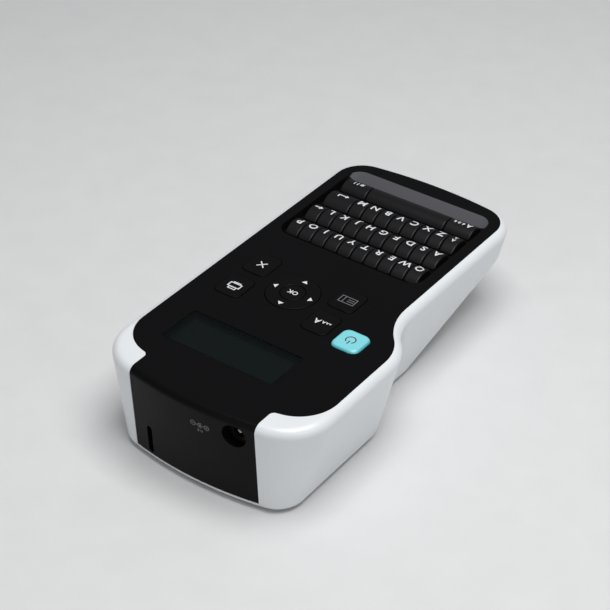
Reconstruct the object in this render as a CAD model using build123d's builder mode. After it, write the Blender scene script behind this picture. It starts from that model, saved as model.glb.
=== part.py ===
"""Hand-held label maker with a keyboard, lying on its back with its face up.

X runs to the device's right, Y from the keyboard end to the head, Z up. Millimetres.
The origin is under the middle of the body, on the surface that the feet stand on.
"""

import os
from math import cos, hypot, pi, radians, sin, tan

from build123d import *

# Body outline, seen from above
half_width = 57.0
half_length = 103.2
tail_reach = 103.86
grip_left = -42.9
waist_low = half_length - 108.2
waist_high = half_length - 71.2
head_corner = 24.0
head_bow = 175.0
tail_corner = 19.0
tail_bow = 230.0

# Heights and drafts
face_z = 48.0
foot_height = 1.0
side_draft = 13.0
end_draft = 3.0
ramp_start = half_length - 121.2
ramp_angle = 21.5
ramp_blend = 20.0
shoulder = 4.0
keel_round = 4.0

# Walls and fits
wall = 2.4
seam = 0.2
rim_width = 4.4
ledge_width = 2.2
ledge_depth = 3.0
slide_gap = 0.3
rest_gap = 0.15
press_travel = 1.0

# Face plate
plate = 3.0
bed_depth = 3.2
bed_floor = 1.8
bed_margin = 6.1
bed_head_margin = 3.7
bed_corner = 7.0
bed_slope = 8.0
bed_wall = 1.5
bed_side_slope = 0.9

# End apron
apron_half = 33.6
apron_root_y = half_length - 12.2
apron_root_round = 2.5
tongue_overlap = 9.0
apron_inner_y = half_length - 6.7
apron_bottom = 4.4
apron_edge = 3.0

# Keyboard
columns = 10
column_pitch = 7.5
first_column_x = -26.7
row_starts = (69.46, 54.26, 39.06, 25.86)
row_lines = tuple(start - tail_reach for start in row_starts)
row_reach_user = (4.7, 4.7, 4.7, 4.2)
row_reach_head = (8.3, 8.3, 8.3, 6.4)
key_gap = 0.5
key_crest = 0.6
key_user_edge = 1.5
key_head_edge = 2.6
key_round = 0.7
key_corner = 1.0
flange_lip = 0.8
flange_thick = 0.85
stem_bottom = 6.2

# Head buttons
power_x, power_y = -32.4, half_length - 74.2
power_size = 14.5
power_corner = 4.0
power_pillow = 0.9
button_width, button_height = 13.6, 15.6
button_corner = 3.0
left_button_x = -14.1
right_button_x = 34.0
upper_button_y = half_length - 77.7
lower_button_y = half_length - 98.2
button_proud = 0.3
ring_x, ring_y = 9.5, half_length - 88.7
ring_radius = 12.6
ok_radius = 5.8

# Display
display_x, display_y = 7.05, half_length - 41.05
display_width, display_height = 59.7, 22.7
display_corner = 1.2
window_thick = 1.2
window_lip = 1.6
window_drop = 0.15
lcd_border = 3.0
lcd_thick = 4.0

# Board and mat
board_top = 8.8
board_thick = 1.6
mat_thick = 1.0
dome_height = 0.4
dome_radius = 2.0
board_left, board_right = -33.0, 46.5
board_tail, board_head = 18.86 - tail_reach, half_length - 17.2
board_head_left = -43.0
board_head_start = half_length - 83.2
board_corner = 2.0
mat_margin = 1.2

# Bay in the underside
bay_left, bay_right = -25.0, 36.0
bay_tail, bay_head = half_length - 102.2, half_length - 19.2
bay_wall = 2.4
deck_z = 25.0
deck_thick = 2.0
battery_bay = half_length - 79.2

# Cassette door
door_lip = 1.2
door_thick = 2.2
door_gap = 0.4
barrel_radius = 2.0
door_pin = 1.2
pin_gap = 0.08
pin_reach = 2.4
door_notch = 14.0

# Cassette and spool
cassette_width, cassette_length, cassette_height = 40.0, 42.0, 18.6
cassette_wall = 1.4
cassette_corner = 5.0
cassette_gap = 1.5
spool_radius = 17.0
spool_bore = 5.0
hub_gap = 0.1
cassette_window = 14.0

# Battery
battery_gap = 1.0
battery_height = 17.0
battery_round = 3.0
top_gap = 0.2

# Drive
gear_module = 0.8
pinion_teeth, idler_teeth, platen_teeth = 8, 19, 16
gear_thick = 3.0
gear_slack = 0.12
deck_clear = 0.3
tooth_tip = 0.8
tooth_root = 1.15
flank_root, flank_pitch, flank_tip = 0.34, 0.20, 0.09
drive_x = 28.0
motor_y = half_length - 64.2
motor_radius = 7.0
motor_length = 17.0
motor_shaft = 0.75
shaft_depth = 3.0
platen_radius = 4.0
platen_shaft = 1.5
platen_low, platen_high = 6.0, 20.0
idler_pin = 1.2
shaft_fit = 0.06

# Print head
tape_gap = 0.25
head_plate = 3.9
head_length = 12.0
head_low = 6.0
fin_count = 4
fin_depth = 1.6

# Cutter
cutter_y, cutter_z = half_length - 25.2, 13.0
cutter_pad_length, cutter_pad_height = 18.0, 12.0
cutter_corner = 4.0
cutter_proud = 3.0
cutter_pad_depth = 6.0
stem_width, stem_height = 5.0, 6.0
collar_thick = 1.4
collar_lip = 1.5
blade_gap = 2.2
blade_depth = 4.3
blade_thick = 0.6
blade_height = 13.5
blade_bevel = 1.8

# Label exit
exit_width, exit_height = 3.0, 15.0

# Power inlet
jack_x, jack_drop = -23.6, 9.0
jack_recess = 5.75
jack_flange = 11.6
jack_flange_thick = 1.5
jack_body = 5.0
jack_length = 10.0
jack_bore = 3.2
jack_depth = 9.0
jack_pin = 1.0

# Screws and feet
boss_head_y = half_length - 22.2
boss_middle_y = half_length - 60.7
boss_spots = ((-21.0, boss_head_y), (-21.0, boss_middle_y), (10.0, boss_middle_y), (32.0, boss_head_y))
boss_radius, boss_shoulder = 2.8, 4.0
screw_radius, screw_head = 1.0, 2.4
screw_head_thick = 1.3
screw_length = 9.0
foot_radius = 3.6
foot_recess = 0.6
foot_tail_y = bay_tail - 9.6
foot_head_y = half_length - 13.0
foot_spots = ((-22.0, foot_tail_y), (34.0, foot_tail_y), (-26.0, foot_head_y), (26.0, foot_head_y))

# Worked out from the sizes above
base_z = foot_height
grip_middle = (grip_left + half_width) / 2
drop = face_z - base_z
bed_floor_z = face_z - bed_depth
bed_under_z = bed_floor_z - bed_floor
plate_under_z = face_z - plate
stem_z = face_z - stem_bottom
board_top_z = face_z - board_top
board_low_z = board_top_z - board_thick
deck_top_z = deck_z + deck_thick
gear_low_z = deck_top_z + deck_clear
tape_x = drive_x - platen_radius
blade_edge_x = tape_x + blade_gap
blade_back_x = blade_edge_x + blade_depth
pinion_radius = pinion_teeth * gear_module / 2
idler_radius = idler_teeth * gear_module / 2
platen_gear_radius = platen_teeth * gear_module / 2
idler_y = motor_y + pinion_radius + idler_radius + gear_slack
platen_y = idler_y + idler_radius + platen_gear_radius + gear_slack
bed_left = first_column_x - bed_margin
bed_right = first_column_x + column_pitch * (columns - 1) + bed_margin
bed_user = row_lines[-1] - row_reach_user[-1] - bed_slope
bed_head = row_lines[0] + row_reach_head[0] + bed_head_margin
hinge_y = bay_tail - door_lip + barrel_radius
hinge_z = base_z + barrel_radius

# Shares of a tooth that bring a tooth of one gear into a gap of the next
pinion_turn = 0.25 * pinion_teeth
idler_turn = -0.25 * idler_teeth + 0.5
platen_turn = 0.25 * idler_teeth - idler_turn + 0.5 - 0.25 * platen_teeth

os.makedirs("parts", exist_ok=True)


def save(builder, name):
    """Labels a finished piece and writes its file."""
    builder.part.label = name
    export_step(builder.part, f"parts/{name}.step")


def body_outline(side, head=None, tail=None):
    """Plan outline of the body, moved in from its widest by side, head and tail."""
    head = side if head is None else head
    tail = side if tail is None else tail
    right = half_width - side
    left = grip_left + side
    corner = head_corner - side
    bow = head_bow - head
    bow_y = half_length - head_bow
    corner_x = right - corner
    corner_y = bow_y + ((bow - corner) ** 2 - corner_x**2) ** 0.5
    reach = bow / (bow - corner)
    head_right = (corner_x * reach, bow_y + (corner_y - bow_y) * reach)
    head_left = (-head_right[0], head_right[1])
    tail_round = tail_corner - side
    tail_arc = tail_bow - tail
    tail_y = tail_bow - tail_reach
    tail_x = right - tail_round - grip_middle
    tail_corner_y = tail_y - ((tail_arc - tail_round) ** 2 - tail_x**2) ** 0.5
    spread = tail_arc / (tail_arc - tail_round)
    tail_end_y = tail_y + (tail_corner_y - tail_y) * spread
    tail_right = (grip_middle + tail_x * spread, tail_end_y)
    tail_left = (grip_middle - tail_x * spread, tail_end_y)
    step = half_width + grip_left
    rise = waist_high - waist_low
    waist = (rise**2 + step**2) / (4 * step)
    upper = Vector(waist - half_width, waist_high)
    lower = Vector(grip_left - waist, waist_low)
    turn = upper + (lower - upper).normalized() * (waist - side)
    with BuildSketch() as outline:
        with BuildLine():
            Line((right, tail_corner_y), (right, corner_y))
            TangentArc((right, corner_y), head_right, tangent=(0, 1))
            ThreePointArc(head_right, (0, half_length - head), head_left)
            TangentArc((-right, corner_y), head_left, tangent=(0, 1))
            Line((-right, corner_y), (-right, waist_high))
            TangentArc((-right, waist_high), turn, tangent=(0, -1))
            TangentArc((left, waist_low), turn, tangent=(0, 1))
            Line((left, waist_low), (left, tail_corner_y))
            TangentArc((left, tail_corner_y), tail_left, tangent=(0, -1))
            ThreePointArc(tail_left, (grip_middle, tail - tail_reach), tail_right)
            TangentArc((right, tail_corner_y), tail_right, tangent=(0, -1))
        make_face()
    return outline.sketch


def plate_outline(gap):
    """Plan of the black face: the body outline inside the white rim, with the apron tongue."""
    inset = rim_width + gap
    head_inset = half_length - apron_root_y + gap
    tongue_start = apron_root_y - tongue_overlap
    tongue = apron_inner_y + 1 - tongue_start
    with BuildSketch() as outline:
        add(body_outline(inset, head_inset, inset))
        with Locations((0, tongue_start + tongue / 2)):
            Rectangle(2 * (apron_half - gap), tongue)
        corners = outline.vertices().filter_by(lambda v: abs(abs(v.X) - apron_half + gap) < 0.01)
        fillet(corners.sort_by(Axis.Y)[:2], apron_root_round)
    return outline.sketch


def ramp_profile(inset):
    """Side view that the body is cut to: flat underside, then the rise to the keyboard end."""
    low = base_z + inset
    back = -tail_reach - 20
    start = ramp_start + inset * tan(radians(ramp_angle / 2))
    rise = (start - back) * tan(radians(ramp_angle))
    with BuildSketch(Plane.YZ) as profile:
        with BuildLine() as edge:
            Polyline(
                (half_length + 20, low),
                (start, low),
                (back, low + rise),
                (back, face_z + 20),
                (half_length + 20, face_z + 20),
                close=True,
            )
        make_face()
        bend = profile.vertices().sort_by(lambda v: hypot(v.Y - start, v.Z - low))[0]
        fillet(bend, ramp_blend)
    return profile.sketch


def hull(inset, keel):
    """Tapered body, moved in all round by inset, with its lower edges rounded."""
    with BuildPart() as body:
        with BuildSketch(Plane.XY.offset(face_z)):
            add(body_outline(inset))
        with BuildSketch(Plane.XY.offset(base_z)):
            taper = inset + drop * tan(radians(side_draft))
            add(body_outline(taper, inset + drop * tan(radians(end_draft)), taper))
        loft(ruled=True)
        extrude(ramp_profile(inset), amount=2 * half_width, both=True, mode=Mode.INTERSECT)
        under = body.faces().filter_by(lambda f: f.normal_at(f.center()).Z < -0.6)
        fillet(under.edges().filter_by(Axis.X, reverse=True), keel)
    return body.part


def block(width, length, low, high, x=0.0, y=0.0, corner=0.0):
    """Upright block with its four upright edges rounded."""
    with BuildPart() as piece:
        with BuildSketch(Plane.XY.offset(low)):
            with Locations((x, y)):
                if corner:
                    RectangleRounded(width, length, corner)
                else:
                    Rectangle(width, length)
        extrude(amount=high - low)
    return piece.part


def post(radius, low, high, x, y):
    """Upright round post."""
    with BuildPart() as piece:
        with BuildSketch(Plane.XY.offset(low)):
            with Locations((x, y)):
                Circle(radius)
        extrude(amount=high - low)
    return piece.part


def rod_x(radius, start, end, y, z):
    """Round rod along X."""
    with BuildPart() as piece:
        with BuildSketch(Plane.YZ.offset(start)):
            with Locations((y, z)):
                Circle(radius)
        extrude(amount=end - start)
    return piece.part


def wall_x(z):
    """Outer face of the right side wall at a height."""
    return half_width - (face_z - z) * tan(radians(side_draft))


bay_x = (bay_left + bay_right) / 2
bay_y = (bay_tail + bay_head) / 2
bay_width = bay_right - bay_left
bay_length = bay_head - bay_tail
door_width = bay_width + 2 * door_lip
door_length = bay_length + 2 * door_lip
pad_outer_x = wall_x(cutter_z) + cutter_proud
pad_inner_x = pad_outer_x - cutter_pad_depth
jack_z = face_z - jack_drop

# White lower shell with the bay for cassette and battery moulded into its underside
with BuildPart() as lower_housing:
    add(hull(0, keel_round))
    fillet(lower_housing.faces().sort_by(Axis.Z)[-1].outer_wire().edges(), shoulder)
    with BuildPart(mode=Mode.PRIVATE) as hollow:
        add(hull(wall, keel_round - wall / 2))
        roof_z = plate_under_z - ledge_depth
        add(block(4 * half_width, 4 * half_length, roof_z, 2 * face_z), mode=Mode.SUBTRACT)
    add(hollow.part, mode=Mode.SUBTRACT)
    with BuildSketch(Plane.XY.offset(roof_z - wall)):
        add(plate_outline(ledge_width))
    extrude(amount=face_z, mode=Mode.SUBTRACT)
    with BuildSketch(Plane.XY.offset(plate_under_z)):
        add(plate_outline(0))
    extrude(amount=face_z, mode=Mode.SUBTRACT)
    end_length = 2 * (half_length - apron_inner_y)
    add(
        block(2 * apron_half, end_length, apron_bottom - seam, 2 * face_z, y=half_length),
        mode=Mode.SUBTRACT,
    )
    # Bay walls and deck
    add(
        block(
            bay_width + 2 * bay_wall,
            bay_length + 2 * bay_wall,
            base_z,
            deck_top_z,
            bay_x,
            bay_y,
        )
    )
    add(block(bay_width, bay_length, 0, deck_z, bay_x, bay_y), mode=Mode.SUBTRACT)
    add(
        block(
            door_width,
            door_length + door_gap,
            0,
            base_z + door_thick + seam,
            bay_x,
            bay_y - door_gap / 2,
        ),
        mode=Mode.SUBTRACT,
    )
    add(block(bay_width, bay_wall, base_z + door_thick + 2 * seam, deck_z, bay_x, battery_bay))
    # Door hinge seats
    seat_radius = barrel_radius + door_gap
    add(
        rod_x(seat_radius, bay_left - door_lip, bay_right + door_lip, hinge_y, hinge_z),
        mode=Mode.SUBTRACT,
    )
    seat_low, seat_high = base_z, hinge_z + door_pin + wall
    for side in (-1, 1):
        seat_x = bay_x + side * (door_width / 2 + pin_reach / 2 + seam)
        add(block(pin_reach, 3 * barrel_radius, seat_low, seat_high, seat_x, hinge_y))
    reach = door_width / 2 + pin_reach
    add(
        rod_x(door_pin + pin_gap, bay_x - reach, bay_x + reach, hinge_y, hinge_z),
        mode=Mode.SUBTRACT,
    )
    # Shaft holes in the deck, and the idler's pin
    add(post(platen_shaft + shaft_fit, deck_z - 1, deck_top_z, drive_x, platen_y), mode=Mode.SUBTRACT)
    add(post(2 * motor_shaft, deck_z - 1, deck_top_z, drive_x, motor_y), mode=Mode.SUBTRACT)
    add(post(idler_pin, deck_z, gear_low_z + gear_thick, drive_x, idler_y))
    for x, y in boss_spots:
        add(post(screw_radius + seam, deck_z, deck_top_z, x, y), mode=Mode.SUBTRACT)
        add(post(screw_head + seam, deck_z - 1, deck_z + screw_head_thick, x, y), mode=Mode.SUBTRACT)
    # Cutter window in the side wall and guide in the bay wall
    with BuildSketch(Plane.YZ.offset(bay_right + bay_wall + 1)):
        with Locations((cutter_y, cutter_z)):
            RectangleRounded(
                cutter_pad_length + 2 * slide_gap,
                cutter_pad_height + 2 * slide_gap,
                cutter_corner + slide_gap,
            )
    extrude(amount=half_width, mode=Mode.SUBTRACT)
    with BuildSketch(Plane.YZ.offset(bay_right - 1)):
        with Locations((cutter_y, cutter_z)):
            Rectangle(stem_width + 2 * slide_gap, stem_height + 2 * slide_gap)
    extrude(amount=bay_wall + 2, mode=Mode.SUBTRACT)
    # Label exit through the head wall of the bay
    with BuildSketch(Plane.XZ.offset(-bay_head + 1)):
        with Locations((tape_x, cutter_z)):
            Rectangle(exit_width, exit_height)
    extrude(amount=-bay_wall - 2, mode=Mode.SUBTRACT)
    for x, y in foot_spots:
        add(post(foot_radius + seam, 0, base_z + foot_recess, x, y), mode=Mode.SUBTRACT)
save(lower_housing, "lower_housing")

# Black face plate with the keyboard bed, button holes, display frame and end apron
with BuildPart() as upper_cover:
    with BuildSketch(Plane.XY.offset(plate_under_z)):
        add(plate_outline(seam))
    extrude(amount=plate)
    with BuildPart(mode=Mode.PRIVATE) as apron:
        add(hull(seam, keel_round))
        end_y = apron_inner_y + half_length
        add(
            block(2 * (apron_half - seam), 2 * half_length, apron_bottom, face_z, y=end_y),
            mode=Mode.INTERSECT,
        )
        brow = apron.edges().filter_by(lambda e: e.center().Z > face_z - 0.01)
        fillet(brow.sort_by(Axis.Y)[-1], apron_edge)
    add(apron.part)
    # Keyboard bed: a tub under the plate, with sloped walls
    bed_x = (bed_left + bed_right) / 2
    bed_y = (bed_user + bed_head) / 2
    bed_width = bed_right - bed_left
    bed_length = bed_head - bed_user
    add(
        block(
            bed_width + 2 * bed_wall,
            bed_length - bed_slope + bed_wall,
            bed_under_z,
            plate_under_z,
            bed_x,
            bed_y + bed_slope / 2,
            bed_corner,
        )
    )
    with BuildSketch(Plane.XY.offset(face_z)):
        with Locations((bed_x, bed_y)):
            RectangleRounded(bed_width, bed_length, bed_corner)
    with BuildSketch(Plane.XY.offset(bed_floor_z)):
        with Locations((bed_x, bed_y + bed_slope / 2)):
            RectangleRounded(
                bed_width - 2 * bed_side_slope,
                bed_length - bed_slope - 2 * bed_side_slope,
                bed_corner - bed_side_slope,
            )
    loft(ruled=True, mode=Mode.SUBTRACT)
    key_left = first_column_x - column_pitch / 2 + key_gap / 2
    key_right = key_left + columns * column_pitch - key_gap
    for line, user, head in zip(row_lines, row_reach_user, row_reach_head):
        add(
            block(
                key_right - key_left + 2 * slide_gap,
                user + head + 2 * slide_gap,
                bed_under_z - 1,
                face_z,
                (key_left + key_right) / 2,
                line + (head - user) / 2,
                key_corner,
            ),
            mode=Mode.SUBTRACT,
        )
    # Button holes
    with BuildSketch(Plane.XY.offset(plate_under_z)):
        with Locations((power_x, power_y)):
            RectangleRounded(
                power_size + 2 * slide_gap, power_size + 2 * slide_gap, power_corner + slide_gap
            )
        with Locations(
            (left_button_x, upper_button_y),
            (left_button_x, lower_button_y),
            (right_button_x, upper_button_y),
            (right_button_x, lower_button_y),
        ):
            RectangleRounded(
                button_width + 2 * slide_gap, button_height + 2 * slide_gap, button_corner + slide_gap
            )
        with Locations((ring_x, ring_y)):
            Circle(ring_radius + slide_gap)
    extrude(amount=plate, mode=Mode.SUBTRACT)
    # Display frame
    with BuildSketch(Plane.XY.offset(face_z - window_thick - window_drop)):
        with Locations((display_x, display_y)):
            RectangleRounded(display_width + 2 * seam, display_height + 2 * seam, display_corner + seam)
    extrude(amount=plate, mode=Mode.SUBTRACT)
    with BuildSketch(Plane.XY.offset(plate_under_z)):
        with Locations((display_x, display_y)):
            Rectangle(display_width - 2 * window_lip, display_height - 2 * window_lip)
    extrude(amount=plate, mode=Mode.SUBTRACT)
    # Bosses that carry the board and take the screws
    for x, y in boss_spots:
        add(post(boss_shoulder, board_top_z, plate_under_z, x, y))
        add(post(boss_radius, deck_top_z, board_top_z, x, y))
        pilot_top = deck_z + screw_head_thick + screw_length + 1
        add(post(screw_radius, deck_top_z, pilot_top, x, y), mode=Mode.SUBTRACT)
    # Power inlet recess and label exit in the apron
    with BuildSketch(Plane.XZ.offset(-apron_inner_y + 1)):
        with Locations((jack_x, jack_z)):
            Circle(jack_recess)
        with Locations((tape_x, cutter_z)):
            RectangleRounded(exit_width, exit_height, exit_width / 2 - 0.1)
    extrude(amount=-half_length, mode=Mode.SUBTRACT)
save(upper_cover, "upper_cover")

with BuildPart() as display_window:
    low = face_z - window_thick - window_drop
    add(block(display_width, display_height, low, low + window_thick, display_x, display_y, display_corner))
save(display_window, "display_window")

with BuildPart() as lcd_module:
    width = display_width + 2 * lcd_border
    height = display_height + 2 * lcd_border
    add(block(width, height, plate_under_z - lcd_thick, plate_under_z, display_x, display_y, display_corner))
    chamfer(lcd_module.faces().sort_by(Axis.Z)[0].edges(), display_corner / 2)
save(lcd_module, "lcd_module")


def board_outline(inset):
    """Plan of the board: keyboard part and wider head part, with room round the bosses."""
    with BuildSketch() as outline:
        with Locations(((board_left + board_right) / 2, (board_tail + board_head) / 2)):
            Rectangle(board_right - board_left - 2 * inset, board_head - board_tail - 2 * inset)
        with Locations(((board_head_left + board_right) / 2, (board_head_start + board_head) / 2)):
            Rectangle(
                board_right - board_head_left - 2 * inset, board_head - board_head_start - 2 * inset
            )
        fillet(outline.vertices(), board_corner)
        add(plate_outline(ledge_width + slide_gap + inset), mode=Mode.INTERSECT)
    return outline.sketch


with BuildPart() as main_board:
    with BuildSketch(Plane.XY.offset(board_low_z)):
        add(board_outline(0))
        with Locations(*boss_spots):
            Circle(boss_radius + seam, mode=Mode.SUBTRACT)
    extrude(amount=board_thick)
save(main_board, "main_board")

keys = []
row_keys = (
    [(f"key_{letter}", 1) for letter in "qwertyuiop"],
    [(f"key_{letter}", 1) for letter in "asdfghjkl"] + [("key_backspace", 1)],
    [("key_caps", 1)] + [(f"key_{letter}", 1) for letter in "zxcvbnm"] + [("key_enter", 2)],
    [("key_accent", 2), ("key_space", 6), ("key_symbol", 2)],
)
for row, names in enumerate(row_keys):
    column = 0
    for name, span in names:
        keys.append((name, row, column, span))
        column += span

buttons = (
    ("format_button", left_button_x, upper_button_y),
    ("frame_button", left_button_x, lower_button_y),
    ("print_button", right_button_x, upper_button_y),
    ("cancel_button", right_button_x, lower_button_y),
)

# Rubber mat with a dome under each key and button
with BuildPart() as keypad_mat:
    with BuildSketch(Plane.XY.offset(board_top_z)):
        add(board_outline(mat_margin))
        with Locations((0, upper_button_y + button_height / 2 + mat_margin + half_length)):
            Rectangle(4 * half_width, 2 * half_length, mode=Mode.SUBTRACT)
    extrude(amount=mat_thick)
    with BuildSketch(Plane.XY.offset(board_top_z + mat_thick)):
        for name, row, column, span in keys:
            middle = first_column_x + column_pitch * (column + (span - 1) / 2)
            with Locations((middle, row_lines[row] + (row_reach_head[row] - row_reach_user[row]) / 2)):
                Circle(dome_radius)
        with Locations(*[(x, y) for name, x, y in buttons], (power_x, power_y), (ring_x, ring_y)):
            Circle(dome_radius)
    extrude(amount=dome_height, taper=20)
save(keypad_mat, "keypad_mat")

# Keyboard caps, crowned along Y with the crest under the legend
for name, row, column, span in keys:
    left = first_column_x + column_pitch * (column - 0.5) + key_gap / 2
    width = span * column_pitch - key_gap
    line = row_lines[row]
    user = line - row_reach_user[row]
    head = line + row_reach_head[row]
    flange_z = bed_under_z - rest_gap
    with BuildPart() as key:
        with BuildSketch(Plane.YZ.offset(left)):
            with BuildLine():
                Polyline(
                    (head, face_z - key_head_edge),
                    (head, stem_z),
                    (user, stem_z),
                    (user, face_z - key_user_edge),
                )
                ThreePointArc(
                    (user, face_z - key_user_edge),
                    (line, face_z + key_crest),
                    (head, face_z - key_head_edge),
                )
            make_face()
        extrude(amount=width)
        fillet(key.edges().filter_by(Axis.Z), key_corner)
        crown = key.faces().sort_by(lambda f: f.center().Z)[-1]
        fillet(crown.edges(), key_round)
        middle_x = left + width / 2
        middle_y = (user + head) / 2
        flange_length = head - user + 2 * flange_lip
        add(block(width, flange_length, flange_z - flange_thick, flange_z, middle_x, middle_y, key_corner / 2))
    save(key, name)

# Flat buttons of the head
for name, x, y in buttons:
    with BuildPart() as button:
        add(block(button_width, button_height, stem_z, face_z + button_proud, x, y, button_corner))
        fillet(button.faces().sort_by(Axis.Z)[-1].edges(), button_proud)
        flange_z = plate_under_z - rest_gap
        add(
            block(
                button_width + 2 * flange_lip,
                button_height + 2 * flange_lip,
                flange_z - flange_thick,
                flange_z,
                x,
                y,
                button_corner,
            )
        )
    save(button, name)

with BuildPart() as power_button:
    add(block(power_size, power_size, stem_z, face_z + power_pillow, power_x, power_y, power_corner))
    fillet(power_button.faces().sort_by(Axis.Z)[-1].edges(), 2 * power_pillow)
    flange_z = plate_under_z - rest_gap
    width = power_size + 2 * flange_lip
    add(block(width, width, flange_z - flange_thick, flange_z, power_x, power_y, power_corner))
save(power_button, "power_button")

with BuildPart() as arrow_ring:
    add(post(ring_radius, stem_z, face_z + button_proud, ring_x, ring_y))
    flange_z = plate_under_z - rest_gap
    add(post(ring_radius + flange_lip, flange_z - flange_thick, flange_z, ring_x, ring_y))
    add(post(ok_radius + slide_gap, stem_z, 2 * face_z, ring_x, ring_y), mode=Mode.SUBTRACT)
    shelf_z = plate_under_z + press_travel + rest_gap
    add(post(ok_radius + slide_gap + flange_lip, stem_z, shelf_z, ring_x, ring_y), mode=Mode.SUBTRACT)
    top = arrow_ring.faces().sort_by(Axis.Z)[-1]
    fillet(top.edges(), button_proud)
save(arrow_ring, "arrow_ring")

with BuildPart() as ok_button:
    add(post(ok_radius, stem_z, face_z + button_proud, ring_x, ring_y))
    fillet(ok_button.faces().sort_by(Axis.Z)[-1].edges(), button_proud)
    lip_z = plate_under_z
    add(post(ok_radius + flange_lip, lip_z - flange_thick, lip_z, ring_x, ring_y))
save(ok_button, "ok_button")

# Door over the bay, with its hinge barrel and pins in one moulding
with BuildPart() as cassette_door:
    length = door_length - barrel_radius - door_gap
    door_y = bay_tail - door_lip + barrel_radius + length / 2
    add(
        block(
            door_width - 2 * door_gap,
            length,
            base_z,
            base_z + door_thick,
            bay_x,
            door_y,
        )
    )
    half_barrel = door_width / 2 - door_gap
    add(rod_x(barrel_radius, bay_x - half_barrel, bay_x + half_barrel, hinge_y, hinge_z))
    reach = door_width / 2 + pin_reach - seam
    add(rod_x(door_pin, bay_x - reach, bay_x + reach, hinge_y, hinge_z))
    with BuildSketch(Plane.XY.offset(base_z)):
        with Locations((bay_x, bay_head + door_lip)):
            Circle(door_notch / 2)
    extrude(amount=door_thick / 2, mode=Mode.SUBTRACT)
save(cassette_door, "cassette_door")

# Tape cassette with a round window to its spool, and the spool on the cassette's hub
cassette_x = bay_left + cassette_gap + cassette_width / 2
cassette_y = bay_head - cassette_gap - cassette_length / 2
cassette_high = deck_z - top_gap
cassette_low = cassette_high - cassette_height
spool_x = cassette_x
with BuildPart() as tape_cassette:
    add(
        block(
            cassette_width,
            cassette_length,
            cassette_low,
            cassette_high,
            cassette_x,
            cassette_y,
            cassette_corner,
        )
    )
    fillet(tape_cassette.faces().sort_by(Axis.Z)[0].edges(), cassette_wall / 2)
    inner = cassette_width - 2 * cassette_wall
    inner_length = cassette_length - 2 * cassette_wall
    add(
        block(
            inner,
            inner_length,
            cassette_low + cassette_wall,
            cassette_high - cassette_wall,
            cassette_x,
            cassette_y,
            cassette_corner - cassette_wall,
        ),
        mode=Mode.SUBTRACT,
    )
    add(
        post(cassette_window, cassette_low - 1, cassette_low + cassette_wall, spool_x, cassette_y),
        mode=Mode.SUBTRACT,
    )
    hub_low = cassette_low + cassette_wall
    add(post(spool_bore - hub_gap, hub_low, cassette_high - cassette_wall, spool_x, cassette_y))
    right_wall = cassette_x + cassette_width / 2
    add(
        block(
            4 * cassette_wall,
            exit_width,
            hub_low,
            cassette_high - cassette_wall,
            right_wall,
            platen_y - head_length,
        ),
        mode=Mode.SUBTRACT,
    )
save(tape_cassette, "tape_cassette")

with BuildPart() as tape_spool:
    low = cassette_low + cassette_wall + rest_gap
    high = cassette_high - cassette_wall - rest_gap
    add(post(spool_radius, low, high, spool_x, cassette_y))
    add(post(spool_bore, low, high, spool_x, cassette_y), mode=Mode.SUBTRACT)
save(tape_spool, "tape_spool")

with BuildPart() as battery_pack:
    width = bay_width - 2 * battery_gap
    length = battery_bay - bay_wall / 2 - bay_tail - 2 * battery_gap
    high = deck_z - top_gap
    middle = (bay_tail + battery_bay - bay_wall / 2) / 2
    add(block(width, length, high - battery_height, high, bay_x, middle))
    fillet(battery_pack.edges().filter_by(Axis.X), battery_round)
save(battery_pack, "battery_pack")


def gear(teeth, bore, y, turn):
    """Spur gear above the deck with straight-sided teeth, turned by a share of a tooth."""
    pitch = teeth * gear_module / 2
    tip = pitch + tooth_tip * gear_module
    root = pitch - tooth_root * gear_module
    step = 2 * pi / teeth
    rising = ((root, -flank_root), (pitch, -flank_pitch), (tip, -flank_tip))
    falling = ((tip, flank_tip), (pitch, flank_pitch), (root, flank_root))
    points = []
    for tooth in range(teeth):
        for radius, share in rising + falling:
            angle = step * (tooth + turn + share)
            points.append((radius * cos(angle), radius * sin(angle)))
    with BuildPart() as wheel:
        with BuildSketch(Plane.XY.offset(gear_low_z)):
            with Locations((drive_x, y)):
                Polygon(*points, align=None)
                Circle(bore, mode=Mode.SUBTRACT)
        extrude(amount=gear_thick)
    return wheel


save(gear(platen_teeth, platen_shaft, platen_y, platen_turn), "platen_gear")
save(gear(idler_teeth, idler_pin + shaft_fit, idler_y, idler_turn), "idler_gear")

# The pinion is pressed on the motor's shaft and turns with it
with BuildPart() as motor_pinion:
    add(gear(pinion_teeth, motor_shaft, motor_y, pinion_turn).part)
    shaft_low = deck_z - shaft_depth + rest_gap
    add(post(motor_shaft, shaft_low, gear_low_z + gear_thick, drive_x, motor_y))
save(motor_pinion, "motor_pinion")

with BuildPart() as platen_roller:
    add(post(platen_shaft, platen_low - 1, gear_low_z + gear_thick, drive_x, platen_y))
    add(post(platen_radius, platen_low, platen_high, drive_x, platen_y))
    add(post(platen_shaft + 1, platen_high, deck_z - rest_gap, drive_x, platen_y))
save(platen_roller, "platen_roller")

with BuildPart() as drive_motor:
    add(post(motor_radius, deck_z - motor_length, deck_z, drive_x, motor_y))
    fillet(drive_motor.faces().sort_by(Axis.Z)[0].edges(), 1)
    add(
        post(motor_shaft + shaft_fit, deck_z - shaft_depth, deck_z, drive_x, motor_y),
        mode=Mode.SUBTRACT,
    )
save(drive_motor, "drive_motor")

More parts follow.
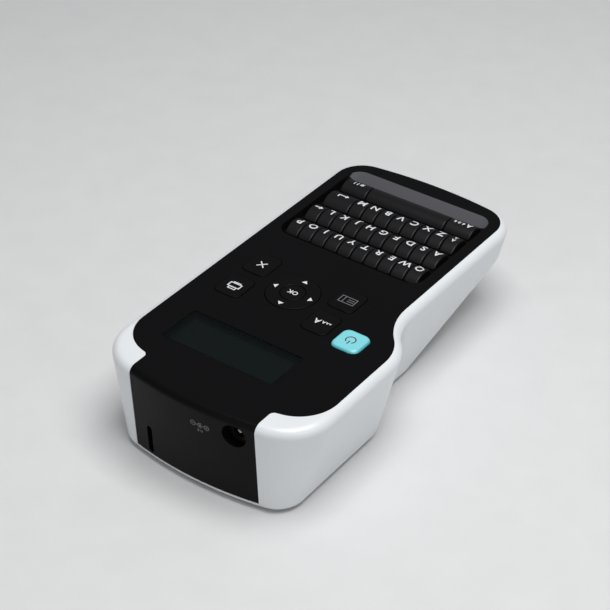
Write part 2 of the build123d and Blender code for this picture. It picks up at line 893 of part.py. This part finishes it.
with BuildPart() as print_head:
    face_x = tape_x - tape_gap
    add(block(head_plate, head_length, head_low, deck_z, face_x - head_plate / 2, platen_y))
    fin_pitch = head_length / fin_count
    for fin in range(fin_count):
        fin_y = platen_y - head_length / 2 + (fin + 0.5) * fin_pitch
        back_x = face_x - head_plate
        add(
            block(2 * fin_depth, fin_pitch / 2, head_low, deck_z - wall, back_x, fin_y),
            mode=Mode.SUBTRACT,
        )
save(print_head, "print_head")

# Push button that drives the blade across the tape
with BuildPart() as cutter_button:
    with BuildSketch(Plane.YZ.offset(pad_inner_x)):
        with Locations((cutter_y, cutter_z)):
            RectangleRounded(cutter_pad_length, cutter_pad_height, cutter_corner)
    extrude(amount=cutter_pad_depth)
    fillet(cutter_button.faces().sort_by(Axis.X)[-1].edges(), cutter_proud / 2)
    stem_length = pad_inner_x - blade_back_x
    add(
        block(
            stem_length,
            stem_width,
            cutter_z - stem_height / 2,
            cutter_z + stem_height / 2,
            blade_back_x + stem_length / 2,
            cutter_y,
        )
    )
    add(
        block(
            collar_thick,
            stem_width + 2 * collar_lip,
            cutter_z - stem_height / 2 - collar_lip,
            cutter_z + stem_height / 2 + collar_lip,
            bay_right - rest_gap - collar_thick / 2,
            cutter_y,
        )
    )
save(cutter_button, "cutter_button")

with BuildPart() as cutter_blade:
    bevel_x = blade_edge_x + blade_bevel
    with BuildSketch(Plane.XY.offset(cutter_z - blade_height / 2)):
        with BuildLine():
            Polyline(
                (blade_edge_x, cutter_y),
                (bevel_x, cutter_y + blade_thick / 2),
                (blade_back_x, cutter_y + blade_thick / 2),
                (blade_back_x, cutter_y - blade_thick / 2),
                (bevel_x, cutter_y - blade_thick / 2),
                close=True,
            )
        make_face()
    extrude(amount=blade_height)
save(cutter_blade, "cutter_blade")

# Power inlet behind the recess in the apron
with BuildPart() as dc_jack:
    front = Plane.XZ.offset(-apron_inner_y)
    with BuildSketch(front):
        with Locations((jack_x, jack_z)):
            Rectangle(jack_flange, jack_flange)
    extrude(amount=jack_flange_thick)
    with BuildSketch(front):
        with Locations((jack_x, jack_z)):
            Circle(jack_body)
    extrude(amount=jack_length)
    with BuildSketch(front):
        with Locations((jack_x, jack_z)):
            Circle(jack_bore)
            Circle(jack_pin, mode=Mode.SUBTRACT)
    extrude(amount=jack_depth, mode=Mode.SUBTRACT)
save(dc_jack, "dc_jack")

with BuildPart() as housing_screws:
    for x, y in boss_spots:
        head_low_z = deck_z
        add(post(screw_head, head_low_z, head_low_z + screw_head_thick, x, y))
        add(post(screw_radius, head_low_z, head_low_z + screw_head_thick + screw_length, x, y))
save(housing_screws, "housing_screws")

with BuildPart() as rubber_feet:
    for x, y in foot_spots:
        add(post(foot_radius, 0, base_z + foot_recess, x, y))
    fillet(rubber_feet.faces().filter_by(Plane.XY).group_by(Axis.Z)[0].edges(), 0.4)
save(rubber_feet, "rubber_feet")
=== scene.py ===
"""Looks of the hand-held label maker: finishes for the CAD pieces, printed legends, light and camera."""

import math

import bmesh
import bpy
from mathutils import Matrix, Vector
from mathutils.bvhtree import BVHTree


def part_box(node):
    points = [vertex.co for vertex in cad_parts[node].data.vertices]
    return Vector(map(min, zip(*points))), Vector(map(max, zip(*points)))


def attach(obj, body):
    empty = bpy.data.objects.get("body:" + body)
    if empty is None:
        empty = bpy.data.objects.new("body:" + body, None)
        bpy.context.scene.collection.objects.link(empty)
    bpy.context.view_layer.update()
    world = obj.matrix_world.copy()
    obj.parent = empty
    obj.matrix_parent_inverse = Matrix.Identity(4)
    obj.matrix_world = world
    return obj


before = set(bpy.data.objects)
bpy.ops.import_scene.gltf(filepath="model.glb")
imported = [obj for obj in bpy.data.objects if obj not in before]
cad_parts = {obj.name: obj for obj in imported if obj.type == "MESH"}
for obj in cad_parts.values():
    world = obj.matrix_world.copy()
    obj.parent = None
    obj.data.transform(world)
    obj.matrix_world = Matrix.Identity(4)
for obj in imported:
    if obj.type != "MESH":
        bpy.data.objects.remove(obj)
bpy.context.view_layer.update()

# Sizes below are in millimetres, and meshes are in metres
MM = 0.001
PER_METRE = 1000.0

# Sloping panel of the keyboard bed, beyond the space bar, which gets a paler painted reflection
SLOPE_GAP = 0.2
SLOPE_RUN = 7.4
SLOPE_HALF_WIDTH = 39.3
SLOPE_DEPTH = 3.3
FACE_SKIN = 0.06

# Printed ink, and how far off a point starts before it is dropped on a surface
INK_PROUD = 0.04
INK_DEPTH = 0.12
INK_CUT = 0.5
WELD = 1e-4
TOUCH = 1e-5
CAST_FROM = 300.0

# Directions that printed faces look in
UP = Vector((0, 0, 1))
HEADWARD = Vector((0, 1, 0))

# Half the height of a capital, as a share of the letter size
HALF_CAPITAL = 0.36

# Legends of the keys, which lie nearer the tail than the middle of a key
LETTER_SIZE = 5.8
LETTER_WEIGHT = 0.10
LEGEND_DROP = 1.8
LOW_ROW_DROP = 1.1

# Polarity sign on the end apron, from the middle of the inlet
SIGN_FROM_INLET = 16.9
SIGN_DROP = 1.4

# Floor and light, in metres
FLOOR_HALF = 4.0
LIT_POINT = (0, 0, 0.03)

# Camera, with its place in metres and its lens in millimetres
CAMERA_PLACE = (-0.3831, 0.5449, 0.5197)
CAMERA_AIM = (0.4763, -0.6548, -0.5870)
CAMERA_CLIP = 0.02
CAMERA_LENS = 106.23
SENSOR_WIDTH = 36.0


def middle(node):
    """Centre of a CAD node's box, in millimetres."""
    low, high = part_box(node)
    return Vector([(a + b) / 2 / MM for a, b in zip(low, high)])


class Sock:
    """A shader socket that can be added, scaled and compared like a number."""

    def __init__(self, paint, socket):
        self.paint = paint
        self.socket = socket

    def math(self, how, other=0.0):
        return self.paint.node("Math", {0: self, 1: other}, operation=how)

    def __add__(self, other):
        return self.math("ADD", other)

    def __sub__(self, other):
        return self.math("SUBTRACT", other)

    def __mul__(self, other):
        return self.math("MULTIPLY", other)

    def __lt__(self, other):
        return self.math("LESS_THAN", other)

    def __gt__(self, other):
        return self.math("GREATER_THAN", other)

    def __abs__(self):
        return self.math("ABSOLUTE")

    def __rsub__(self, other):
        return self.paint.node("Math", {0: other, 1: self}, operation="SUBTRACT")

    __radd__ = __add__
    __rmul__ = __mul__

    def root(self):
        return self.math("SQRT")

    def larger(self, other):
        return self.math("MAXIMUM", other)

    def fraction(self):
        return self.math("FRACT")

    def ramp(self, low, high):
        """0 below low, 1 above high, smooth between."""
        inputs = {0: self, 1: low, 2: high}
        return self.paint.node("MapRange", inputs, interpolation_type="SMOOTHSTEP")

    def lines(self, per_mm, low, high):
        """1 on evenly spaced lines, 0 in the cells between them."""
        return abs((self * per_mm).fraction() - 0.5).ramp(low, high)


class Paint:
    """One material with its Principled shader and the nodes that feed it."""

    coat_rough = 0.18

    def __init__(self, name, colour, rough, metal=0.0, spec=0.5, coat=0.0):
        self.mat = bpy.data.materials.new(name)
        self.mat.use_nodes = True
        self.tree = self.mat.node_tree
        self.bsdf = self.tree.nodes["Principled BSDF"]
        self.bsdf.inputs["Base Color"].default_value = (*colour, 1)
        self.bsdf.inputs["Roughness"].default_value = rough
        self.bsdf.inputs["Metallic"].default_value = metal
        self.bsdf.inputs["Specular IOR Level"].default_value = spec
        self.bsdf.inputs["Coat Weight"].default_value = coat
        self.bsdf.inputs["Coat Roughness"].default_value = self.coat_rough
        self.place = self.node("TexCoord", {}, out="Object")
        split = self.node("SeparateXYZ", {0: self.place}, out=None)
        self.x, self.y, self.z = [Sock(self, axis) * PER_METRE for axis in split.outputs]

    def node(self, kind, inputs, out=0, **settings):
        """Makes a node, sets or links its inputs, and gives back one output."""
        made = self.tree.nodes.new("ShaderNode" + kind)
        for key, value in settings.items():
            setattr(made, key, value)
        for key, value in inputs.items():
            if isinstance(value, Sock):
                self.tree.links.new(value.socket, made.inputs[key])
            else:
                made.inputs[key].default_value = value
        if out is None:
            return made
        return Sock(self, made.outputs[out])

    def feed(self, name, value):
        self.tree.links.new(value.socket, self.bsdf.inputs[name])

    def noise(self, size, detail=3.0, stretch=(1, 1, 1)):
        """Noise with grains about size millimetres across."""
        scale = tuple(PER_METRE / size * share for share in stretch)
        where = self.node("Mapping", {"Vector": self.place, "Scale": scale})
        return self.node("TexNoise", {"Vector": where, "Scale": 1.0, "Detail": detail}, out="Fac")

    def mix(self, share, first, second):
        """A colour between first and second, each a socket or three numbers."""
        ends = [end if isinstance(end, Sock) else (*end, 1) for end in (first, second)]
        return self.node("Mix", {0: share, 6: ends[0], 7: ends[1]}, out=2, data_type="RGBA")

    def bump(self, height, strength, reach):
        inputs = {"Height": height, "Strength": strength, "Distance": reach * MM}
        self.feed("Normal", self.node("Bump", inputs))

    def radius(self, first, a, second, b):
        """Distance from the line where the first place is a and the second is b."""
        da = first - a
        db = second - b
        return (da * da + db * db).root()


def moulded(name, colour, rough, spec=0.5, coat=0.0, grain=0.35, depth=0.04, swing=0.05):
    """Moulded plastic: even colour with fine spark-eroded grain and slight wear in its gloss."""
    paint = Paint(name, colour, rough, spec=spec, coat=coat)
    fine = paint.noise(grain, 2.0)
    broad = paint.noise(18.0)
    paint.feed("Roughness", broad * swing * 2 + fine * swing + (rough - swing * 1.5))
    dark = tuple(c * 0.93 for c in colour)
    paint.feed("Base Color", paint.mix(broad, dark, colour))
    paint.bump(fine, 0.25, depth)
    return paint


def brushed(name, colour, rough, along):
    """Drawn or ground metal with streaks along one axis."""
    paint = Paint(name, colour, rough, metal=1.0)
    stretch = [1.0, 1.0, 1.0]
    stretch["xyz".index(along)] = 0.02
    streak = paint.noise(0.25, 4.0, stretch)
    paint.feed("Roughness", streak * 0.25 + (rough - 0.12))
    paint.feed("Base Color", paint.mix(streak, tuple(c * 0.82 for c in colour), colour))
    paint.bump(streak, 0.2, 0.02)
    return paint


def face_black():
    """Black face plate, with a painted reflection: paler grey on the sloping panel of the keyboard bed."""
    paint = moulded("black face", (0.0034, 0.0034, 0.0038), 0.38, spec=0.07, grain=0.3)
    face_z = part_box("upper_cover")[1][2] / MM
    foot_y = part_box("key_space")[0][1] / MM - SLOPE_GAP
    centre_x = middle("key_space").x
    # painted reflection: the sloping panel beyond the space bar is given a paler grey that stands for the
    # light it reflects
    along = (paint.y < foot_y) * (paint.y > foot_y - SLOPE_RUN)
    across = abs(paint.x - centre_x) < SLOPE_HALF_WIDTH
    below = (paint.z < face_z - FACE_SKIN) * (paint.z > face_z - SLOPE_DEPTH)
    shade = paint.mix(paint.noise(18.0), (0.0031, 0.0031, 0.0035), (0.0037, 0.0037, 0.0042))
    paint.feed("Base Color", paint.mix(along * across * below, shade, (0.085, 0.085, 0.095)))
    return paint


def power_blue():
    """Pale blue button, darker blue towards its edges."""
    paint = moulded("power blue", (0.20, 0.74, 0.80), 0.30, coat=0.25, depth=0.012)
    spot = middle("power_button")
    # the outer band of the button is darker blue towards its edges
    edge_band = abs(paint.x - spot.x).larger(abs(paint.y - spot.y)).ramp(5.9, 7.3)
    paint.feed("Base Color", paint.mix(edge_band, (0.22, 0.68, 0.74), (0.07, 0.43, 0.50)))
    return paint


def window_tint():
    """Dark clear window with faint smears."""
    paint = Paint("display window", (0.008, 0.012, 0.012), 0.10, spec=0.12)
    smear = paint.noise(9.0, 4.0)
    paint.feed("Roughness", smear * 0.10 + 0.06)
    paint.feed("Alpha", smear * 0.04 + 0.30)
    return paint


def display_panel():
    """Panel of dots, switched off."""
    paint = Paint("display panel", (0.012, 0.018, 0.017), 0.35, spec=0.1)
    columns = paint.x.lines(2.4, 0.40, 0.47)
    rows = paint.y.lines(2.4, 0.40, 0.47)
    gaps = columns.larger(rows)
    paint.feed("Base Color", paint.mix(gaps, (0.0090, 0.0128, 0.0128), (0.0066, 0.0096, 0.0094)))
    paint.feed("Roughness", paint.noise(6.0) * 0.1 + 0.28)
    return paint


def circuit_board():
    """Green board with tracks that run one way or the other from patch to patch."""
    paint = Paint("circuit board", (0.012, 0.09, 0.035), 0.38)
    patch = paint.noise(14.0).ramp(0.48, 0.52)
    tracks = paint.x.lines(0.8, 0.30, 0.36) * patch + paint.y.lines(0.55, 0.34, 0.40) * (1.0 - patch)
    paint.feed("Base Color", paint.mix(tracks, (0.010, 0.075, 0.028), (0.022, 0.14, 0.055)))
    paint.bump(tracks, 0.3, 0.04)
    paint.feed("Roughness", tracks * 0.1 + 0.32)
    return paint


def battery_wrap():
    """Shrink wrap drawn in between the cells, with painted shade darkening the creases."""
    wrap = (0.020, 0.020, 0.024)
    cell_width = 14.0
    paint = moulded("battery wrap", wrap, 0.34, grain=1.5, depth=0.04)
    crease_and_shade = paint.x.lines(1 / cell_width, 0.46, 0.49)
    # painted shade: the creases between the cells are darker where the wrap is drawn in
    paint.feed("Base Color", paint.mix(crease_and_shade, wrap, (0.006, 0.006, 0.007)))
    paint.bump(paint.noise(1.5) * 0.15 - crease_and_shade, 0.4, 0.25)
    return paint


def wound_tape():
    """Label tape, with the edges of its turns round the hub."""
    label = (0.82, 0.81, 0.77)
    turns_per_mm = 4.0
    paint = Paint("wound tape", label, 0.5)
    hub = middle("tape_cassette")
    turns = (paint.radius(paint.x, hub.x, paint.y, hub.y) * turns_per_mm).fraction().ramp(0.55, 0.95)
    paint.feed("Base Color", paint.mix(turns, label, (0.56, 0.55, 0.52)))
    paint.feed("Roughness", paint.noise(1.2) * 0.2 + 0.42)
    paint.bump(1.0 - turns, 0.3, 0.05)
    return paint


def roller_rubber():
    """Black rubber on a bright steel axle."""
    axle_reach = 1.62
    paint = Paint("roller", (0.012, 0.012, 0.012), 0.7)
    spot = middle("platen_gear")
    axle = paint.radius(paint.x, spot.x, paint.y, spot.y) < axle_reach
    paint.feed("Base Color", paint.mix(axle, (0.012, 0.012, 0.013), (0.55, 0.55, 0.56)))
    paint.feed("Metallic", axle)
    paint.feed("Roughness", paint.noise(0.5) * 0.2 + (0.6 - axle * 0.35))
    paint.bump(paint.noise(0.4), 0.3, 0.04)
    return paint


def inlet_black():
    """Black inlet with a bright centre pin."""
    black = (0.006, 0.006, 0.007)
    pin_reach = 1.15
    paint = moulded("inlet", black, 0.42, spec=0.4)
    spot = middle("dc_jack")
    pin = paint.radius(paint.x, spot.x, paint.z, spot.z) < pin_reach
    paint.feed("Base Color", paint.mix(pin, black, (0.60, 0.58, 0.52)))
    paint.feed("Metallic", pin)
    return paint


white_shell = moulded("white shell", (0.80, 0.83, 0.85), 0.30, coat=0.12, depth=0.015)
key_black = moulded("key caps", (0.0056, 0.0056, 0.0064), 0.40, spec=0.26, grain=0.25, depth=0.05)
button_black = moulded("flush buttons", (0.0034, 0.0034, 0.0038), 0.34, spec=0.09, grain=0.3)
gear_plastic = moulded("acetal gears", (0.72, 0.70, 0.63), 0.42, grain=0.8, depth=0.02)
legend_white = moulded("printed white", (0.80, 0.81, 0.82), 0.50, grain=0.15, depth=0.01)
legend_grey = moulded("printed grey", (0.16, 0.16, 0.17), 0.52, grain=0.15, depth=0.01)
legend_plum = moulded("printed plum", (0.11, 0.016, 0.035), 0.48, grain=0.15, depth=0.01)

finish_of = {
    "lower_housing": white_shell,
    "cassette_door": white_shell,
    "cutter_button": white_shell,
    "upper_cover": face_black(),
    "display_window": window_tint(),
    "lcd_module": display_panel(),
    "main_board": circuit_board(),
    "keypad_mat": moulded("silicone mat", (0.16, 0.165, 0.17), 0.60, grain=0.6, depth=0.06),
    "battery_pack": battery_wrap(),
    "tape_cassette": moulded("cassette", (0.035, 0.035, 0.04), 0.48, grain=0.4, depth=0.06),
    "tape_spool": wound_tape(),
    "platen_roller": roller_rubber(),
    "platen_gear": gear_plastic,
    "idler_gear": gear_plastic,
    "motor_pinion": brushed("brass pinion", (0.72, 0.50, 0.20), 0.32, "z"),
    "drive_motor": brushed("motor can", (0.56, 0.56, 0.57), 0.34, "z"),
    "print_head": brushed("print head", (0.68, 0.69, 0.71), 0.38, "y"),
    "cutter_blade": brushed("cutter blade", (0.62, 0.62, 0.63), 0.24, "z"),
    "housing_screws": brushed("screws", (0.42, 0.42, 0.43), 0.34, "x"),
    "rubber_feet": moulded("foot rubber", (0.022, 0.022, 0.023), 0.75, spec=0.3, grain=0.5, depth=0.10),
    "dc_jack": inlet_black(),
    "power_button": power_blue(),
}
for name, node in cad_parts.items():
    plain = key_black if name.startswith("key_") else button_black
    node.data.materials.clear()
    node.data.materials.append(finish_of.get(name, plain).mat)


class Print:
    """Flat shapes in millimetres that are laid on a CAD surface as a thin layer of ink."""

    def __init__(self):
        self.bm = bmesh.new()

    def polygon(self, points):
        self.bm.faces.new([self.bm.verts.new((x, y, 0)) for x, y in points])

    def box(self, x, y, width, height):
        w, h = width / 2, height / 2
        self.polygon([(x - w, y - h), (x + w, y - h), (x + w, y + h), (x - w, y + h)])

    def ring(self, x, y, outer, inner, start=0, sweep=360):
        """Part of a ring, from start degrees through sweep degrees."""
        centre = Vector((x, y, 0))
        along = Matrix.Rotation(math.radians(start), 3, "Z") @ Vector((1, 0, 0))
        ends = [self.bm.verts.new(centre + along * reach) for reach in (outer, inner)]
        edge = self.bm.edges.new(ends)
        turn = {"cent": centre, "axis": UP, "angle": math.radians(sweep), "steps": 48}
        bmesh.ops.spin(self.bm, geom=[*ends, edge], use_merge=sweep == 360, **turn)

    def disc(self, x, y, radius):
        spot = Matrix.Translation((x, y, 0))
        bmesh.ops.create_circle(self.bm, cap_ends=True, radius=radius, segments=32, matrix=spot)

    def outline(self, x, y, width, height, line):
        """Hollow rectangle."""
        for side in (1, -1):
            self.box(x, y + side * (height - line) / 2, width, line)
            self.box(x + side * (width - line) / 2, y, line, height - 2 * line)

    def text(self, words, x, y, size, weight):
        """Letters centred on x, with the middle of a capital at y."""
        curve = bpy.data.curves.new("letters", "FONT")
        curve.body = words
        curve.size = size
        curve.offset = weight
        curve.align_x = "CENTER"
        curve.resolution_u = 4
        holder = bpy.data.objects.new("letters", curve)
        bpy.context.scene.collection.objects.link(holder)
        bpy.context.view_layer.update()
        flat = bpy.data.meshes.new_from_object(holder.evaluated_get(bpy.context.evaluated_depsgraph_get()))
        foot = y - HALF_CAPITAL * size
        for vertex in flat.vertices:
            vertex.co = (vertex.co.x + x, vertex.co.y + foot, 0)
        self.bm.from_mesh(flat)
        bpy.data.objects.remove(holder)
        bpy.data.curves.remove(curve)
        bpy.data.meshes.remove(flat)

    def cut_finely(self):
        """Cuts the shapes along a grid, so that they can follow a crowned surface."""
        bm = self.bm
        bmesh.ops.remove_doubles(bm, verts=bm.verts, dist=WELD)
        for axis in (0, 1):
            spots = [v.co[axis] for v in bm.verts]
            normal = Vector((0, 0, 0))
            normal[axis] = 1
            at = min(spots) + INK_CUT
            while at < max(spots):
                shapes = bm.verts[:] + bm.edges[:] + bm.faces[:]
                bmesh.ops.bisect_plane(bm, geom=shapes, plane_co=normal * at, plane_no=normal, dist=TOUCH)
                at += INK_CUT
        bmesh.ops.triangulate(bm, faces=bm.faces[:])

    def drop_on(self, surface, out):
        """Drops each point on the surface, seen from where out points, and turns it to metres."""
        points = [v.co.copy() for v in surface.vertices]
        tree = BVHTree.FromPolygons(points, [tuple(p.vertices) for p in surface.polygons])
        for v in self.bm.verts:
            flat = Vector((v.co.x, v.co.y, 0)) if out == UP else Vector((-v.co.x, 0, v.co.y))
            start = (flat + out * CAST_FROM) * MM
            v.co = tree.ray_cast(start, -out)[0] + out * INK_PROUD * MM

    def thicken(self, out):
        """Gives the ink a back that lies under the surface."""
        bm = self.bm
        bmesh.ops.recalc_face_normals(bm, faces=bm.faces[:])
        grown = bmesh.ops.extrude_face_region(bm, geom=bm.faces[:])
        for part in grown["geom"]:
            if isinstance(part, bmesh.types.BMVert):
                part.co -= out * INK_DEPTH * MM
        bmesh.ops.recalc_face_normals(bm, faces=bm.faces[:])

    def lay(self, name, node, body, paint, out=UP):
        """Makes the shapes a piece of ink on a CAD node, which rides on the node's body."""
        self.cut_finely()
        self.drop_on(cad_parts[node].data, out)
        self.thicken(out)
        mesh = bpy.data.meshes.new(name)
        self.bm.to_mesh(mesh)
        self.bm.free()
        piece = bpy.data.objects.new(name, mesh)
        bpy.context.scene.collection.objects.link(piece)
        mesh.materials.append(paint.mat)
        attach(piece, body)


def capital(letter):
    """The drawing of one large letter."""

    def draw(ink, x, y):
        ink.text(letter.upper(), x, y, LETTER_SIZE, LETTER_WEIGHT)

    return draw


def backspace_arrow(ink, x, y):
    ink.polygon([(x - 2.3, y), (x - 0.5, y + 1.35), (x - 0.5, y - 1.35)])
    ink.box(x + 0.85, y, 2.7, 0.75)


def caps_letters(ink, x, y):
    ink.text("A", x, y + 1.5, 2.9, 0.07)
    ink.text("a", x, y - 0.8, 2.6, 0.06)
    ink.box(x, y - 2.2, 2.0, 0.4)


def enter_arrow(ink, x, y):
    line = 0.7
    ink.polygon([(x - 3.2, y), (x - 1.5, y + 1.3), (x - 1.5, y - 1.3)])
    ink.box(x + 0.6, y, 4.2, line)
    ink.box(x + 2.35, y + 1.0, line, 1.3)


def accent_letters(ink, x, y):
    ink.text("A", x - 3.4, y, 4.4, 0.09)
    ink.text("é ö ä", x + 1.9, y + 0.1, 2.9, 0.06)


def symbol_marks(ink, x, y):
    ink.text("# ? !", x, y, 3.3, 0.07)


def growing_letters(ink, x, y):
    """Capitals of growing size that stand on one line."""
    foot = y - 1.6
    for shift, size in ((-4.1, 1.5), (-2.7, 1.9), (-0.9, 2.5), (2.2, 4.6)):
        ink.text("A", x + shift, foot + HALF_CAPITAL * size, size, 0.06)


def framed_label(ink, x, y):
    line = 0.42
    ink.outline(x, y, 8.4, 5.0, line)
    ink.box(x - 1.6, y + 0.7, 3.4, line)
    ink.box(x - 1.6, y - 0.7, 3.4, line)
    ink.box(x + 2.0, y, line, 4.0)


def printer(ink, x, y):
    line = 0.55
    ink.outline(x, y, 6.6, 3.4, line)
    ink.outline(x, y + 2.3, 4.2, 1.8, 0.5)
    ink.box(x, y - 2.2, 4.2, line)


def cross(ink, x, y):
    corners = ((-2.1, -1.7), (-1.7, -2.1), (2.1, 1.7), (1.7, 2.1))
    for lean in (1, -1):
        ink.polygon([(x + lean * a, y + b) for a, b in corners])


def arrow_heads(ink, x, y):
    corners = (Vector((10.9, 0)), Vector((8.9, 1.5)), Vector((8.9, -1.5)))
    for quarter in range(4):
        turn = Matrix.Rotation(math.radians(90 * quarter), 2)
        ink.polygon([turn @ corner + Vector((x, y)) for corner in corners])


def ok_letters(ink, x, y):
    ink.text("OK", x, y, 3.6, 0.06)


def power_sign(ink, x, y):
    """Ring that is open at its top, with a bar in the gap."""
    ink.ring(x, y, 2.55, 2.0, 128, 284)
    ink.box(x, y + 1.9, 0.55, 2.5)


def polarity_sign(ink, x, y):
    """Minus, open ring round a dot, and plus, joined by lines, with the voltage under them."""
    line = 0.28
    ring = (1.35, 1.05)
    minus, dot, plus = x - 3.5, x + 0.2, x + 3.5
    for at in (minus, plus):
        ink.ring(at, y, *ring)
        ink.box(at, y, 1.3, line)
    ink.box(plus, y + 0.45, line, 0.5)
    ink.box(plus, y - 0.45, line, 0.5)
    ink.disc(dot, y, 0.55)
    ink.ring(dot, y, *ring, 50, 260)
    ink.box(x - 1.65, y, 1.0, line)
    ink.box(x + 1.45, y, 1.4, line)
    ink.text("9 V", x, y - 3.0, 2.0, 0.04)


def print_key(node, draw, drop=LEGEND_DROP):
    """Prints a key's legend in white."""
    spot = middle(node)
    ink = Print()
    draw(ink, spot.x, spot.y - drop)
    ink.lay(node.replace("key_", "legend_"), node, node, legend_white)


def print_sign(name, node, draw, paint=legend_white):
    """Prints a sign on the middle of a button."""
    spot = middle(node)
    ink = Print()
    draw(ink, spot.x, spot.y)
    ink.lay(name, node, node, paint)


def print_apron():
    """Prints the polarity sign beside the inlet, seen from the head, so its left is the object's +X."""
    spot = middle("dc_jack")
    ink = Print()
    polarity_sign(ink, -spot.x - SIGN_FROM_INLET, spot.z - SIGN_DROP)
    ink.lay("sign_polarity", "upper_cover", "root", legend_grey, HEADWARD)


for letter in "qwertyuiopasdfghjklzxcvbnm":
    print_key("key_" + letter, capital(letter))
print_key("key_backspace", backspace_arrow)
print_key("key_caps", caps_letters)
print_key("key_enter", enter_arrow)
print_key("key_accent", accent_letters, LOW_ROW_DROP)
print_key("key_symbol", symbol_marks, LOW_ROW_DROP)

print_sign("sign_format", "format_button", growing_letters)
print_sign("sign_frame", "frame_button", framed_label, legend_grey)
print_sign("sign_print", "print_button", printer)
print_sign("sign_cancel", "cancel_button", cross)
print_sign("sign_arrows", "arrow_ring", arrow_heads)
print_sign("sign_ok", "ok_button", ok_letters)
print_sign("sign_power", "power_button", power_sign, legend_plum)
print_apron()


def pale_floor():
    """The plain floor that the object lies on."""
    bm = bmesh.new()
    bmesh.ops.create_grid(bm, x_segments=1, y_segments=1, size=FLOOR_HALF)
    mesh = bpy.data.meshes.new("floor")
    bm.to_mesh(mesh)
    bm.free()
    floor = bpy.data.objects.new("floor", mesh)
    bpy.context.scene.collection.objects.link(floor)
    pale = moulded("pale floor", (0.74, 0.74, 0.74), 0.75, spec=0.2, grain=2.0, depth=0.02)
    mesh.materials.append(pale.mat)


def softbox(name, place, size, power):
    """A square area light that faces the object."""
    lamp = bpy.data.lights.new(name, "AREA")
    lamp.energy = power
    lamp.shape = "SQUARE"
    lamp.size = size
    holder = bpy.data.objects.new(name, lamp)
    holder.location = place
    aim = Vector(LIT_POINT) - Vector(place)
    holder.rotation_euler = aim.to_track_quat("-Z", "Y").to_euler()
    bpy.context.scene.collection.objects.link(holder)


def studio_world():
    """Faint, slightly cool light from all round."""
    world = bpy.data.worlds.new("studio")
    world.use_nodes = True
    background = world.node_tree.nodes["Background"]
    background.inputs["Color"].default_value = (0.95, 0.97, 1.0, 1)
    background.inputs["Strength"].default_value = 0.22
    bpy.context.scene.world = world


def photo_camera():
    """The camera at the photograph's viewing angle."""
    lens = bpy.data.cameras.new("camera")
    lens.sensor_width = SENSOR_WIDTH
    lens.lens = CAMERA_LENS
    lens.clip_start = CAMERA_CLIP
    camera = bpy.data.objects.new("camera", lens)
    camera.location = CAMERA_PLACE
    camera.rotation_euler = Vector(CAMERA_AIM).to_track_quat("-Z", "Y").to_euler()
    bpy.context.scene.collection.objects.link(camera)
    bpy.context.scene.camera = camera


pale_floor()
softbox("top", (-0.20, 0.05, 1.0), 0.7, 9.2)
softbox("side", (-1.0, 0.25, 0.60), 0.6, 0.9)
softbox("end", (0.15, 1.1, 0.45), 0.5, 0.7)
studio_world()
photo_camera()
bpy.context.scene.view_settings.view_transform = "Standard"
